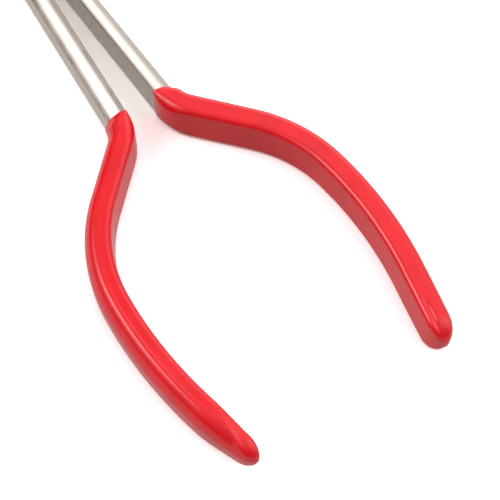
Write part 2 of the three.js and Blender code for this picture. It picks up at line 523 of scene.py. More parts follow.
def cut(piece: Object, tool: BMesh, how: Cut) -> None:
    """Joins a tool to a piece or cuts it away, and leaves plain mesh.

    Args:
        piece: The solid that changes.
        tool: The other solid, used up by this.
        how: Which of the two is done.
    """
    cutter = as_object(tool, "cutter")
    modifier = piece.modifiers.new("cut", "BOOLEAN")
    modifier.operation = how.value
    modifier.solver = "EXACT"
    modifier.object = cutter
    graph = bpy.context.evaluated_depsgraph_get()
    changed = bpy.data.meshes.new_from_object(piece.evaluated_get(graph))
    piece.modifiers.clear()
    worn_out, piece.data = piece.data, changed
    bpy.data.meshes.remove(worn_out)
    bpy.data.meshes.remove(cutter.data)


def smooth_shaded(piece: Object, crease: float) -> None:
    """Shades a piece smooth, except over its creases.

    Args:
        piece: The piece.
        crease: The angle between faces past which an edge stays sharp.
    """
    bm = bmesh.new()
    bm.from_mesh(piece.data)
    for face in bm.faces:
        face.smooth = True
    for edge in bm.edges:
        edge.smooth = len(edge.link_faces) == 2 and edge.calc_face_angle(0.0) < crease
    bm.to_mesh(piece.data)
    bm.free()


# ---- finishes ----


class Nodes:
    """The node tree of a material or of the world, with short ways to add to it."""

    def __init__(self, owner: Material | World) -> None:
        """Empties the owner's tree.

        Args:
            owner: The material or the world that the nodes belong to.
        """
        owner.use_nodes = True
        self.owner = owner
        self.tree = owner.node_tree
        self.tree.nodes.clear()

    def add(self, kind: str, inputs: dict[str | int, object] | None = None,
            **settings: object) -> Node:
        """Adds a node.

        Args:
            kind: The node's type, without its ShaderNode prefix.
            inputs: A value, or another node's output socket, for each input by name or number.
            **settings: The node's own settings.

        Returns:
            The node.
        """
        node = self.tree.nodes.new(f"ShaderNode{kind}")
        for key, value in settings.items():
            setattr(node, key, value)
        for key, value in (inputs or {}).items():
            if isinstance(value, NodeSocket):
                self.tree.links.new(value, node.inputs[key])
            else:
                node.inputs[key].default_value = value
        return node

    def calculated(self, operation: str, *values: object) -> NodeSocket:
        """The result of a sum on values or sockets."""
        return self.add("Math", dict(enumerate(values)), operation=operation).outputs[0]

    def mixed(self, share: object, low: object, high: object) -> NodeSocket:
        """Mixes two colours by the share of the second."""
        return self.add("Mix", {"Factor": share, "A": low, "B": high},
                        data_type="RGBA").outputs["Result"]

    def varied(self, noise: NodeSocket, mean: float) -> NodeSocket:
        """Lets a value wander a little round its mean, after a noise."""
        return self.add("MapRange", {
            "Value": noise, "From Min": 0.3, "From Max": 0.7, "To Min": mean * 0.85,
            "To Max": mean * 1.2}).outputs["Result"]

    def bump(self, height: NodeSocket, distance: float,
             under: NodeSocket | None = None) -> NodeSocket:
        """Raises a surface by a height.

        Args:
            height: The height, from 0 to 1.
            distance: How far a height of 1 stands out.
            under: The normal that it adds to.

        Returns:
            The new normal's socket.
        """
        inputs = {"Height": height, "Strength": 1.0, "Distance": distance}
        if under:
            inputs["Normal"] = under
        return self.add("Bump", inputs).outputs["Normal"]

    def ramp(self, factor: NodeSocket,
             stops: Iterable[tuple[float, float]]) -> NodeSocket:
        """Maps a factor to grey levels.

        Args:
            factor: The value to map.
            stops: The position and level of each of two stops.

        Returns:
            The mapped level's socket.
        """
        node = self.add("ValToRGB", {"Fac": factor})
        for element, (position, level) in zip(node.color_ramp.elements, stops):
            element.position = position
            element.color = (level, level, level, 1.0)
        return node.outputs["Color"]

    def noise(self, scale: float, stretch: tuple[float, float, float] = (1.0, 1.0, 1.0),
              detail: float = 2.0) -> NodeSocket:
        """Noise over the piece's own coordinates.

        Args:
            scale: The number of waves per metre.
            stretch: The share of that scale along each axis.
            detail: The number of finer layers.

        Returns:
            The noise's factor socket.
        """
        place = self.add("TexCoord").outputs["Object"]
        mapped = self.add("Mapping", {"Vector": place, "Scale": stretch}).outputs["Vector"]
        return self.add("TexNoise", {"Vector": mapped, "Scale": scale, "Detail": detail,
                                     "Roughness": 0.55}).outputs["Fac"]

    def finish(self, shader: Node) -> Material | World:
        """Shows a shader.

        Args:
            shader: The shader.

        Returns:
            The tree's owner.
        """
        kind = "OutputWorld" if isinstance(self.owner, World) else "OutputMaterial"
        self.add(kind, {"Surface": shader.outputs[0]})
        return self.owner


@dataclass(frozen=True)
class Nickel:
    """Satin nickel plate over forged steel.

    Attributes:
        name: The material's name.
        colour: The plate's reflecting colour.
        tarnish: The colour of its duller patches.
        roughness: Its mean roughness.
        streaks: The height of the fine lines left along the bar by the belt.
        speckle: The height of the pits that show through the plate.
        line_waves: The lines' waves per metre along each axis.
        pit_waves: The pits' waves per metre.
        cloud_waves: The waves per metre of the slow change in roughness.
        tarnish_stops: The pits' levels that are all tarnish and all plate.
    """

    name: str
    colour: tuple[float, float, float]
    tarnish: tuple[float, float, float]
    roughness: float
    streaks: float
    speckle: float
    line_waves: tuple[float, float, float] = (9000.0, 260.0, 9000.0)
    pit_waves: float = 2600.0
    cloud_waves: float = 140.0
    tarnish_stops: tuple[float, float] = (0.36, 0.56)

    def material(self) -> Material:
        """Builds the material.

        Returns:
            The material.
        """
        nodes = Nodes(bpy.data.materials.new(self.name))
        lines = nodes.noise(1.0, self.line_waves, detail=3.0)
        pits = nodes.noise(self.pit_waves, detail=4.0)
        clean = nodes.ramp(pits, zip(self.tarnish_stops, (0.0, 1.0)))
        tone = nodes.mixed(clean, (*self.tarnish, 1.0), (*self.colour, 1.0))
        # painted shade: the plate's colour turns dark brown on the marked inner-edge bevels
        edge_shade = nodes.add("Attribute", attribute_name=PAINTED_EDGE_SHADE).outputs["Fac"]
        brushed = nodes.bump(lines, self.streaks)
        shader = nodes.add("BsdfPrincipled", {
            "Base Color": nodes.mixed(edge_shade, tone, (*EDGE_SHADE_COLOUR, 1.0)), "Metallic": 1.0,
            "Roughness": nodes.varied(nodes.noise(self.cloud_waves), self.roughness),
            "Normal": nodes.bump(pits, self.speckle, brushed)})
        return nodes.finish(shader)


@dataclass(frozen=True)
class DippedVinyl:
    """Glossy PVC that cured on the tang it was dipped on.

    Attributes:
        name: The material's name.
        colour: The vinyl's colour.
        roughness: Its mean roughness.
        ripple: The height of its slow, flowing unevenness.
        depth: How dark its deeper patches are, as a share of the colour.
        ripple_waves: The ripple's waves per metre.
        peel_waves: The waves per metre of the change in roughness.
        patch_waves: The deeper patches' waves per metre.
        patch_stops: The patches' levels that are all deep and all plain.
    """

    name: str
    colour: tuple[float, float, float]
    roughness: float
    ripple: float
    depth: float = 0.9
    ripple_waves: float = 150.0
    peel_waves: float = 900.0
    patch_waves: float = 90.0
    patch_stops: tuple[float, float] = (0.35, 0.65)

    def material(self) -> Material:
        """Builds the material.

        Returns:
            The material.
        """
        nodes = Nodes(bpy.data.materials.new(self.name))
        deep = tuple(channel * self.depth for channel in self.colour)
        plain = nodes.ramp(nodes.noise(self.patch_waves), zip(self.patch_stops, (0.0, 1.0)))
        shader = nodes.add("BsdfPrincipled", {
            "Base Color": nodes.mixed(plain, (*deep, 1.0), (*self.colour, 1.0)),
            "Roughness": nodes.varied(nodes.noise(self.peel_waves), self.roughness),
            "Normal": nodes.bump(nodes.noise(self.ripple_waves, detail=1.0), self.ripple)})
        return nodes.finish(shader)


# ---- forgings ----


@dataclass
class Joint:
    """The riveted half-lap joint.

    Attributes:
        lap_radius: The radius of each half's round lap.
        lap_chamfer: The bevel round a lap.
        lap_clearance: The gap round a lap, and between the two.
        half_width: How far the joint reaches from the middle plane when shut.
        shoulder: How far from the pivot the shanks and the jaws start.
        rim_chamfer: The bevel round a recess.
        rivet_radius: The radius of the rivet's shaft.
        head_radius: The radius of its heads.
        head_depth: How deep its heads reach.
        rivet_clearance: The gap round the rivet.
        overrun: How far a cutter reaches past what it cuts.
        sides: The steps round what is turned.
    """

    lap_radius: float = 8.5 * MM
    lap_chamfer: float = 0.6 * MM
    lap_clearance: float = 0.3 * MM
    half_width: float = 9.6 * MM
    shoulder: float = 3.585 * MM
    rim_chamfer: float = 0.3 * MM
    rivet_radius: float = 3.0 * MM
    head_radius: float = 4.2 * MM
    head_depth: float = 1.2 * MM
    rivet_clearance: float = 0.2 * MM
    overrun: float = 1.0 * MM
    sides: int = 128

    @property
    def floor(self) -> float:
        """The height of the upper lap's underside, and of the recess over the lower one."""
        return 0.5 * (WHOLE.thickness + self.lap_clearance)

    def lap(self) -> BMesh:
        """Makes the round lap on a forging.

        Returns:
            The lap.
        """
        top = WHOLE.thickness
        return revolved([
            (0.0, self.floor), (self.lap_radius, self.floor),
            (self.lap_radius, top - self.lap_chamfer), (self.lap_radius - self.lap_chamfer, top),
            (0.0, top)], self.sides)

    def recess(self) -> BMesh:
        """Makes what the other forging's lap needs cut out of this one.

        Returns:
            The cutter.
        """
        radius = self.lap_radius + self.lap_clearance
        chamfer = self.rim_chamfer
        return revolved([
            (0.0, -self.overrun), (radius + chamfer + self.overrun, -self.overrun),
            (radius, chamfer), (radius, self.floor), (0.0, self.floor)], self.sides)

    def rivet_hole(self) -> BMesh:
        """Makes the rivet's hole and the countersink for its head.

        Returns:
            The cutter.
        """
        hole = self.rivet_radius + self.rivet_clearance
        sink = self.head_radius + self.rivet_clearance
        top = WHOLE.thickness
        return revolved([
            (0.0, -self.overrun), (hole, -self.overrun), (hole, top - self.head_depth), (sink, top),
            (sink, top + self.overrun), (0.0, top + self.overrun)], self.sides)


@dataclass(frozen=True)
class Bead:
    """A low bead or groove that runs along a grip, above and below.

    Attributes:
        across: Where it lies across the route.
        width: How far from its middle it has faded to about a third.
        height: How far it stands out, negative for a groove.
        start: How far before the grip's end it starts.
        end: How far before the grip's end it stops.
        fade: The length over which it rises and falls.
        drift: How far it moves outwards towards the end, as a share of the distance from its start.
    """

    across: float
    width: float
    height: float
    start: float
    end: float
    fade: float
    drift: float = 0.0

    def relief(self, left: float, across: float) -> float:
        """How far it stands out at a place.

        Args:
            left: The distance to the grip's end.
            across: The place across the route.

        Returns:
            The height there.
        """
        begun, to_go = self.start - left, left - self.end
        share = smoothstep(begun, 0.0, self.fade) * smoothstep(to_go, 0.0, self.fade)
        beside = across - self.across - self.drift * begun
        return self.height * share * math.exp(-(beside / self.width) ** 2)


@dataclass(frozen=True)
class Handle:
    """How one half's tang is bent, and how far up its grip was dipped.

    Attributes:
        reach: How far from the pivot the shank runs before the first bend.
        lead: How far before that bend the grip's mouth lies.
        kink_run: The straight run after the kink that turns the handle out.
        bow: The bend that turns the handle back.
        sweep: The long, slow bend after the bow.
        end_run: The straight end.
        kink: The bend that turns the handle out.
        taper: The share that the grip slims by towards its end.
        crest: The round of the grip's lower outer edge, across and up. On the left grip, whose
            half is turned over, this edge is on top.
        end_crest: The round of the same edge at the grip's end.
        beads: The beads and grooves that the vinyl left along the grip.
        crest_power: How full the crest is.
    """

    reach: float
    lead: float
    kink_run: Bend
    bow: Bend
    sweep: Bend
    end_run: Bend
    taper: float
    crest: Vector
    end_crest: Vector
    beads: tuple[Bead, ...]
    crest_power: float = ELLIPSE
    kink: Bend = Bend.arc(11.5 * MM, 40.0)

    @property
    def bends(self) -> tuple[Bend, ...]:
        """The stretches from the first bend on."""
        return self.kink, self.kink_run, self.bow, self.sweep, self.end_run

    @property
    def length(self) -> float:
        """The distance from the first bend to the end of the grip."""
        return sum(bend.length for bend in self.bends)


HANDLES = {
    Side.RIGHT: Handle(
        reach=99.5 * MM, lead=1.5 * MM, kink_run=Bend(18.4 * MM), bow=Bend.arc(42.4 * MM, -34.3),
        sweep=Bend.arc(110.0 * MM, -20.0), end_run=Bend(21.4 * MM), taper=0.03,
        crest=Vector((2.4, 3.0)) * MM, end_crest=Vector((2.4, 3.0)) * MM, beads=(
            Bead(across=-1.4 * MM, width=0.6 * MM, height=-0.36 * MM, start=13 * MM, end=0.0,
                 fade=5 * MM),)),
    Side.LEFT: Handle(
        reach=100.3 * MM, lead=0.8 * MM, kink_run=Bend(18.0 * MM), bow=Bend.arc(46.7 * MM, -40.2),
        sweep=Bend.arc(123.0 * MM, -20.1), end_run=Bend(9.8 * MM), taper=0.30,
        crest=Vector((3.6, 5.2)) * MM, end_crest=Vector((5.0, 5.8)) * MM, crest_power=1.9, beads=(
            Bead(across=0.7 * MM, width=0.9 * MM, height=0.12 * MM, start=72 * MM, end=12 * MM,
                 fade=12 * MM),
            Bead(across=-0.5 * MM, width=0.5 * MM, height=-0.10 * MM, start=60 * MM, end=10 * MM,
                 fade=16 * MM),
            Bead(across=-1.3 * MM, width=0.4 * MM, height=0.05 * MM, start=42 * MM, end=14 * MM,
                 fade=12 * MM),
            Bead(across=-1.4 * MM, width=0.6 * MM, height=0.40 * MM, start=12.5 * MM, end=1.0 * MM,
                 fade=4 * MM, drift=0.3))),
}


@dataclass
class Forging:
    """One forging: a shank and its tang, a lap of the joint, and the jaw across from the shank.

    Attributes:
        joint: The joint that it is half of.
        shank_gap: The gap between the two shanks when shut.
        shank_width: The shank's size across.
        shank_height: Its upright size.
        shank_round: How far in its outer rounds reach, as a share of the most they can.
        shank_power: How full those rounds are.
        shank_blend: How far from the shoulders the joint's block has become the shank.
        block_round: The same share as shank_round, for the block.
        edge_bevel: The bevel of the shank's inner edges.
        shoulder_chamfer: The bevel of the shoulders.
        tang_width: The tang's size across where it starts.
        tang_end_width: Its size across where it ends.
        tang_height: Its upright size.
        tang_inner_round: The round of its inner edges, across and up.
        tang_outer_round: The round of its outer edges, across and up.
        tang_blend: How far past the first bend the shank has become the tang.
        tang_setback: How far the tang's end lies inside the grip's.
        tang_end_round: The length of its rounded end.
        jaw_face: How far the jaw's toothed face lies from the middle plane.
        jaw_throat: How far its plain face lies from there, behind the teeth.
        jaw_root_width: The jaw's size across at the pivot's end of its taper.
        jaw_root_height: Its upright size there.
        jaw_tip_width: Its size across at the tip.
        jaw_tip_height: Its upright size there.
        jaw_tip_round: The length of its blunt nose.
        jaw_round: The same share as shank_round, for the jaw.
        jaw_bevel: The bevel of its inner edges.
        jaw_blend: How far from the shoulders the joint's block has become the jaw.
        tooth_pitch: The distance from tooth to tooth.
        tooth_depth: The teeth's depth.
        tooth_count: How many there are.
        tooth_setback: How far from the tip the first one starts.
        tooth_land: How far their crests are ground below the jaw's face.
        shade_width: How far across the painted shade on the inner edges reaches, as a share of the
            bevel.
        shade_depth: How far down it reaches, as a share of the bevel.
        outline: The steps round its outside.
        step: The distance between rings.
        dome_steps: The number of rings over a rounded end.
        crease: The angle past which an edge stays sharp.
    """

    joint: Joint = field(default_factory=Joint)
    shank_gap: float = 2.0 * MM
    shank_width: float = 6.4 * MM
    shank_height: float = 10.6 * MM
    shank_round: float = 0.98
    shank_power: float = 1.7
    shank_blend: float = 32.0 * MM
    block_round: float = 0.15
    edge_bevel: float = 0.3 * MM
    shoulder_chamfer: float = 0.5 * MM
    tang_width: float = 5.8 * MM
    tang_end_width: float = 5.0 * MM
    tang_height: float = 10.0 * MM
    tang_inner_round: tuple[float, float] = (0.6 * MM, 0.8 * MM)
    tang_outer_round: tuple[float, float] = (3.0 * MM, 4.2 * MM)
    tang_blend: float = 4.5 * MM
    tang_setback: float = 8.5 * MM
    tang_end_round: float = 8.0 * MM
    jaw_face: float = 0.15 * MM
    jaw_throat: float = 0.65 * MM
    jaw_root_width: float = 8.0 * MM
    jaw_root_height: float = 11.4 * MM
    jaw_tip_width: float = 2.0 * MM
    jaw_tip_height: float = 3.6 * MM
    jaw_tip_round: float = 1.2 * MM
    jaw_round: float = 0.85
    jaw_bevel: float = 0.2 * MM
    jaw_blend: float = 20.0 * MM
    tooth_pitch: float = 1.4 * MM
    tooth_depth: float = 0.45 * MM
    tooth_count: int = 26
    tooth_setback: float = 1.6 * MM
    tooth_land: float = 0.03 * MM
    shade_width: float = 1.05
    shade_depth: float = 0.9
    outline: Outline = Outline(inner_side=4, inner_round=4, top=6, outer_round=26, outer_side=4)
    step: float = 1.0 * MM
    dome_steps: int = 8
    crease: float = math.radians(28)

    @property
    def shank_line(self) -> float:
        """How far the shank's middle lies from the middle plane when shut."""
        return 0.5 * (self.shank_gap + self.shank_width)

    def bar_section(self, inner: float, width: float, height: float, share: float, bevel: float,
                    power: float = ELLIPSE) -> Section:
        """A bar with a flat inner side.

        Args:
            inner: Where the inner side lies.
            width: The size across.
            height: The upright size.
            share: How far in the outer rounds reach, as a share of the most they can.
            bevel: The bevel of the inner edges.
            power: How full the outer rounds are.

        Returns:
            The section. It is half an ellipse where the share is 1 and the power ELLIPSE.
        """
        outer_round = Vector((share * (width - bevel), share * 0.5 * height))
        return Section(inner, width, height, Vector((bevel, bevel)), outer_round, outer_round,
                       power, power)

    def block_section(self, distance: float) -> Section:
        """The joint's block, which turns into the shank.

        Args:
            distance: How far from the shoulders.

        Returns:
            The section.
        """
        blend = smoothstep(distance, 0.0, self.shank_blend)
        chamfer = max(0.0, self.shoulder_chamfer - distance)
        block_width = self.joint.half_width - 0.5 * self.shank_gap
        return self.bar_section(
            inner=-0.5 * self.shank_width,
            width=lerp(block_width, self.shank_width, blend) - chamfer,
            height=lerp(WHOLE.thickness, self.shank_height, blend) - 2 * chamfer,
            share=lerp(self.block_round, self.shank_round, math.sqrt(blend)),
            bevel=self.edge_bevel,
            power=lerp(ELLIPSE, self.shank_power, blend))

    def tang_section(self, distance: float, length: float) -> Section:
        """The tang at a distance from the first bend, which is still shank before it.

        Args:
            distance: How far past the first bend.
            length: The handle's length from there.

        Returns:
            The section.
        """
        shank = self.block_section(self.shank_blend)
        width = lerp(self.tang_width, self.tang_end_width, min(max(distance / length, 0.0), 1.0))
        outer_round = Vector(self.tang_outer_round)
        tang = Section(-0.5 * width, width, self.tang_height, Vector(self.tang_inner_round),
                       outer_round, outer_round)
        return shank.blended(tang, smoothstep(distance, 0.0, self.tang_blend))

    def jaw_section(self, distance: float) -> Section:
        """The joint's block, which turns into the jaw, measured out from the middle plane.

        Args:
            distance: How far from the shoulders.

        Returns:
            The section.
        """
        reach = WHOLE.jaw_reach - self.joint.shoulder
        along = distance / reach
        blend = smoothstep(distance, 0.0, self.jaw_blend)
        chamfer = max(0.0, self.shoulder_chamfer - distance)
        teeth = reach - self.tooth_setback - self.tooth_count * self.tooth_pitch
        inner = lerp(self.jaw_throat, self.jaw_face,
                     smoothstep(distance, teeth - 2 * self.tooth_pitch, teeth))
        taper_width = lerp(self.jaw_root_width, self.jaw_tip_width, along)
        taper_height = lerp(self.jaw_root_height, self.jaw_tip_height, along)
        return self.bar_section(
            inner=inner,
            width=lerp(self.joint.half_width, taper_width, blend) - inner - chamfer,
            height=lerp(WHOLE.thickness, taper_height, blend) - 2 * chamfer,
            share=lerp(self.block_round, self.jaw_round, math.sqrt(blend)),
            bevel=self.jaw_bevel)

    def from_shoulders(self, route: Route, end: float,
                       section: Callable[[float], Section]) -> Loft:
        """A bar that starts at the joint's chamfered shoulders.

        Args:
            route: The line that it follows.
            end: How far it is drawn.
            section: Its section at a distance from the shoulders.

        Returns:
            The loft, still open at its end.
        """
        loft = Loft(route, self.outline)
        loft.draw(0.0, section(0.0))
        loft.fill_start()
        for distance in spaced(end, self.step):
            if distance >= self.shoulder_chamfer:
                loft.draw(distance, section(distance))
        return loft

    def shank(self, handle: Handle) -> BMesh:
        """Makes the shank and its tang, from the shoulders to the tang's rounded end.

        Args:
            handle: How the tang is bent.

        Returns:
            The bar.
        """
        straight = handle.reach - self.joint.shoulder
        start = Vector((self.shank_line, -self.joint.shoulder))
        route = Route(start, -QUARTER_TURN, (Bend(straight), *handle.bends))
        loft = self.from_shoulders(route, straight, self.block_section)
        length = handle.length
        end = length - self.tang_setback - self.tang_end_round
        for distance in spaced(end, self.step)[1:]:
            loft.draw(straight + distance, self.tang_section(distance, length))
        loft.dome(straight + end, self.tang_end_round, self.tang_section(end, length),
                  self.dome_steps)
        return welded(loft.bm)

    def jaw(self) -> BMesh:
        """Makes the jaw, from the shoulders to its blunt nose.

        Returns:
            The jaw.
        """
        shoulder = self.joint.shoulder
        route = Route(Vector((0.0, shoulder)), QUARTER_TURN, (Bend(WHOLE.jaw_reach),))
        end = WHOLE.jaw_reach - shoulder - self.jaw_tip_round
        loft = self.from_shoulders(route, end, self.jaw_section)
        loft.dome(end, self.jaw_tip_round, self.jaw_section(end), self.dome_steps,
                  flat_inside=True)
        return welded(loft.bm)

    def tooth_cutter(self) -> BMesh:
        """Makes the zigzag that leaves a row of upright teeth in the jaw's face.

        Returns:
            The cutter.
        """
        bm = bmesh.new()
        overrun = self.joint.overrun
        crest = -self.jaw_face - self.tooth_land
        end = WHOLE.jaw_reach - self.tooth_setback
        outline = [(overrun, end), (crest, end)]
        for tooth in range(self.tooth_count):
            outline.append((crest - self.tooth_depth, end - (tooth + 0.5) * self.tooth_pitch))
            outline.append((crest, end - (tooth + 1) * self.tooth_pitch))
        outline.append((overrun, end - self.tooth_count * self.tooth_pitch))
        corners = [bm.verts.new((x, y, -overrun)) for x, y in outline]
        face = bm.faces.new(corners)
        made = bmesh.ops.extrude_face_region(bm, geom=[face])["geom"]
        lifted = [item for item in made if isinstance(item, BMVert)]
        bmesh.ops.translate(bm, verts=lifted, vec=(0, 0, WHOLE.thickness + 2 * overrun))
        bmesh.ops.recalc_face_normals(bm, faces=bm.faces)
        return bm

    def paint_edge_shade(self, piece: Object) -> None:
        """Marks the bevels along the shank's inner edges, where shade is painted on the plate.

        Args:
            piece: The forging, still shut.
        """
        reach = 0.5 * self.shank_gap + self.shade_width * self.edge_bevel
        rise = 0.5 * self.shank_height - self.shade_depth * self.edge_bevel
        # painted shade: 1 on the inner-edge bevels, where the plate's colour is darkened
        shade_mask = piece.data.attributes.new(PAINTED_EDGE_SHADE, "FLOAT", "POINT")
        for vert in piece.data.vertices:
            across, along, height = vert.co
            on_flat = across < reach and along < -self.shank_blend
            on_edge = on_flat and abs(height - WHOLE.mid_height) > rise
            shade_mask.data[vert.index].value = 1.0 if on_edge else 0.0

    def build(self, side: Side, finish: Nickel) -> Object:
        """Makes one half's forging.

        Args:
            side: The half it belongs to.
            finish: The plate it wears.

        Returns:
            The piece.
        """
        piece = as_object(self.shank(HANDLES[side]), f"{side.value}_forging")
        cut(piece, self.jaw(), Cut.ADD)
        cut(piece, self.joint.recess(), Cut.TAKE_AWAY)
        cut(piece, self.joint.lap(), Cut.ADD)
        cut(piece, self.joint.rivet_hole(), Cut.TAKE_AWAY)
        cut(piece, self.tooth_cutter(), Cut.TAKE_AWAY)
        self.paint_edge_shade(piece)
        piece.data.transform(WHOLE.placement(side))
        smooth_shaded(piece, self.crease)
        piece.data.materials.clear()
        piece.data.materials.append(finish.material())
        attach(piece, side.body)
        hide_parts(f"{side.value}_half")
        return piece


@dataclass
class Rivet:
    """The rivet that the halves turn on, its heads flush with the laps.

    Attributes:
        joint: The joint that it holds.
        crown: How far the heads' rims lie below their middles.
        edge_round: The bevel round each head.
        knee: Where a head's slope changes, as shares of its radius and of the crown.
        crease: The angle past which an edge stays sharp.
    """

    joint: Joint = field(default_factory=Joint)
    crown: float = 0.12 * MM
    edge_round: float = 0.15 * MM
    knee: tuple[float, float] = (0.6, 0.3)
    crease: float = math.radians(28)

    def build(self, finish: Nickel) -> Object:
        """Makes the rivet.

        Args:
            finish: The steel it is made of.

        Returns:
            The piece.
        """
        radius, head, top = self.joint.rivet_radius, self.joint.head_radius, WHOLE.thickness
        edge, rim = self.edge_round, top - self.crown
        knee_reach, knee_drop = self.knee
        upper = [(radius, WHOLE.mid_height), (radius, top - self.joint.head_depth),
                 (head, rim - edge), (head - edge, rim),
                 (knee_reach * head, top - knee_drop * self.crown), (0.0, top)]
        lower = [(across, top - height) for across, height in reversed(upper)]
        piece = as_object(revolved(lower + upper[1:], self.joint.sides), "rivet")
        smooth_shaded(piece, self.crease)
        piece.data.materials.append(finish.material())
        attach(piece, Side.RIGHT.body)
        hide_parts("pivot_rivet")
        return piece


# ---- grips ----


@dataclass
class Grip:
    """The vinyl sleeve dipped on a tang, open at its mouth.

    Attributes:
        forging: The forging whose tang it is dipped on.
        coat: The coat's thickness.
        lip_coat: Its thickness at the mouth, over the flat and the edges.
        lip_bulge: Its thickness at the mouth, on the outer side.
        coat_blend: How far from the mouth it reaches its full thickness.
        clearance: The gap between vinyl and steel inside.
        lip_clearance: The same gap at the mouth.
        lip_round: How far along the rolled edge of the mouth reaches.
        corner_round: The round of the sleeve's upper outer edge, across and up.
        swell: How much more the inner edges are rounded just behind the mouth.
        swell_reach: How far from the mouth that extra round fades out.
        swell_peak: How far from the mouth it is the most.
        end_round: The length of the rounded end.
        tip_reach: The length that slims towards the end.
        roll_reach: The length over which the crest widens towards the end.
        bead_room: How much thinner it is above and below, so that the beads stay within the frame.
        bead_rise: How far from the middle height the beads have their full height.
        snug: How far the skin stays inside the frame's facets.
        outline: The steps round its outside.
        step: The distance between rings.
        inner_step: The same distance inside the sleeve.
        lip_steps: The number of rings over the lip.
        end_steps: The number of rings over the rounded end.
        crease: The angle past which an edge stays sharp.
    """

    forging: Forging = field(default_factory=Forging)
    coat: float = 1.0 * MM
    lip_coat: float = 0.18 * MM
    lip_bulge: float = 0.25 * MM
    coat_blend: float = 4.5 * MM
    clearance: float = 0.3 * MM
    lip_clearance: float = 0.04 * MM
    lip_round: float = 0.4 * MM
    corner_round: Vector = field(default_factory=lambda: Vector((2.4, 3.0)) * MM)
    swell: float = 1.0 * MM
    swell_reach: float = 11.0 * MM
    swell_peak: float = 4.4 * MM
    end_round: float = 6.0 * MM
    tip_reach: float = 17.0 * MM
    roll_reach: float = 19.0 * MM
    bead_room: float = 0.1 * MM
    bead_rise: float = 3.0 * MM
    snug: float = 0.05 * MM
    outline: Outline = Outline(inner_side=6, inner_round=12, top=24, outer_round=28, outer_side=6)
    step: float = 0.8 * MM
    inner_step: float = 3.0 * MM
    lip_steps: int = 6
    end_steps: int = 14
    crease: float = math.radians(60)

    def outside(self, handle: Handle, distance: float) -> Section:
        """The sleeve's outline.

        Args:
            handle: The handle that it covers.
            distance: How far from its mouth.

        Returns:
            The section.
        """
        past_kink, end = distance - handle.lead, handle.lead + handle.length
        lip = self.forging.tang_section(past_kink, handle.length).grown(
            self.lip_coat, self.lip_bulge, self.lip_coat)
        full = self.coat - self.snug
        coated = self.forging.tang_section(
            max(past_kink, self.forging.tang_blend), handle.length).grown(
            full, full, full - self.bead_room)
        rolled = smoothstep(distance, end - self.roll_reach, end - self.end_round)
        coated = replace(
            coated, outer_round=self.corner_round,
            under_round=handle.crest.lerp(handle.end_crest, rolled),
            under_power=lerp(handle.crest_power, ELLIPSE, rolled))
        thinness = max(0.0, 1.0 - distance / self.coat_blend)
        section = lip.blended(coated, 1.0 - thinness * thinness)
        extra = self.swell * smoothstep(distance, 0.0, self.swell_peak) * (
            1.0 - smoothstep(distance, self.swell_peak, self.swell_reach))
        section = replace(section, inner_round=section.inner_round + Vector((extra, extra)))
        slimmed = handle.taper * smoothstep(distance, end - self.tip_reach, end)
        return section.shrunk(1.0 - slimmed, False)

    def inside(self, handle: Handle, distance: float, gap: float) -> Section:
        """The sleeve's hollow at a distance from its mouth, a gap wider than the steel."""
        tang = self.forging.tang_section(distance - handle.lead, handle.length)
        return tang.grown(gap, gap, gap)

    def skin(self, handle: Handle) -> BMesh:
        """The sleeve as one closed skin, from its inner end out over the lip to its outer end.

        Args:
            handle: The handle that it covers.

        Returns:
            The sleeve's mesh.
        """
        forging = self.forging
        start = Vector((forging.shank_line, handle.lead - handle.reach))
        route = Route(start, -QUARTER_TURN, (Bend(handle.lead), *handle.bends))
        loft = Loft(route, self.outline)

        def relief(distance: float, across: float, up: float) -> float:
            """How far the vinyl stands out, above and below alike.

            Args:
                distance: How far from the mouth.
                across: The place across the route.
                up: The height from the middle.

            Returns:
                The height of its beads there.
            """
            left = route.length - distance
            return smoothstep(abs(up), 0.0, self.bead_rise) * sum(
                bead.relief(left, across) for bead in handle.beads)

        inner_end = route.length - forging.tang_setback - forging.tang_end_round
        loft.dome(inner_end, forging.tang_end_round + self.clearance,
                  self.inside(handle, inner_end, self.clearance), forging.dome_steps, opening=True)
        for distance in reversed(spaced(inner_end, self.inner_step)[1:]):
            loft.draw(distance, self.inside(handle, distance, self.clearance))
        self.lip(loft, handle)
        outer_end = route.length - self.end_round
        for distance in spaced(outer_end, self.step)[1:]:
            loft.draw(distance, self.outside(handle, distance), relief)
        loft.dome(outer_end, self.end_round, self.outside(handle, outer_end), self.end_steps,
                  relief=relief)
        return welded(loft.bm)

    def lip(self, loft: Loft, handle: Handle) -> None:
        """Rolls the skin over the lip at the mouth.

        Args:
            loft: The skin, drawn up to the mouth from inside.
            handle: The handle that it covers.
        """
        inside = self.inside(handle, 0.0, self.lip_clearance)
        outside = self.outside(handle, self.lip_round)
        for index in range(self.lip_steps + 1):
            angle = QUARTER_TURN * index / self.lip_steps
            loft.draw(self.lip_round * (1.0 - math.sin(angle)),
                      inside.blended(outside, 1.0 - math.cos(angle)))

    def build(self, side: Side, finish: DippedVinyl) -> Object:
        """Makes one grip.

        Args:
            side: The half it belongs to.
            finish: The vinyl it is made of.

        Returns:
            The piece.
        """
        piece = as_object(self.skin(HANDLES[side]), f"{side.value}_sleeve")
        piece.data.transform(WHOLE.placement(side))
        smooth_shaded(piece, self.crease)
        piece.data.materials.append(finish.material())
        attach(piece, side.body)
        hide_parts(f"{side.value}_grip")
        return piece


# ---- studio ----


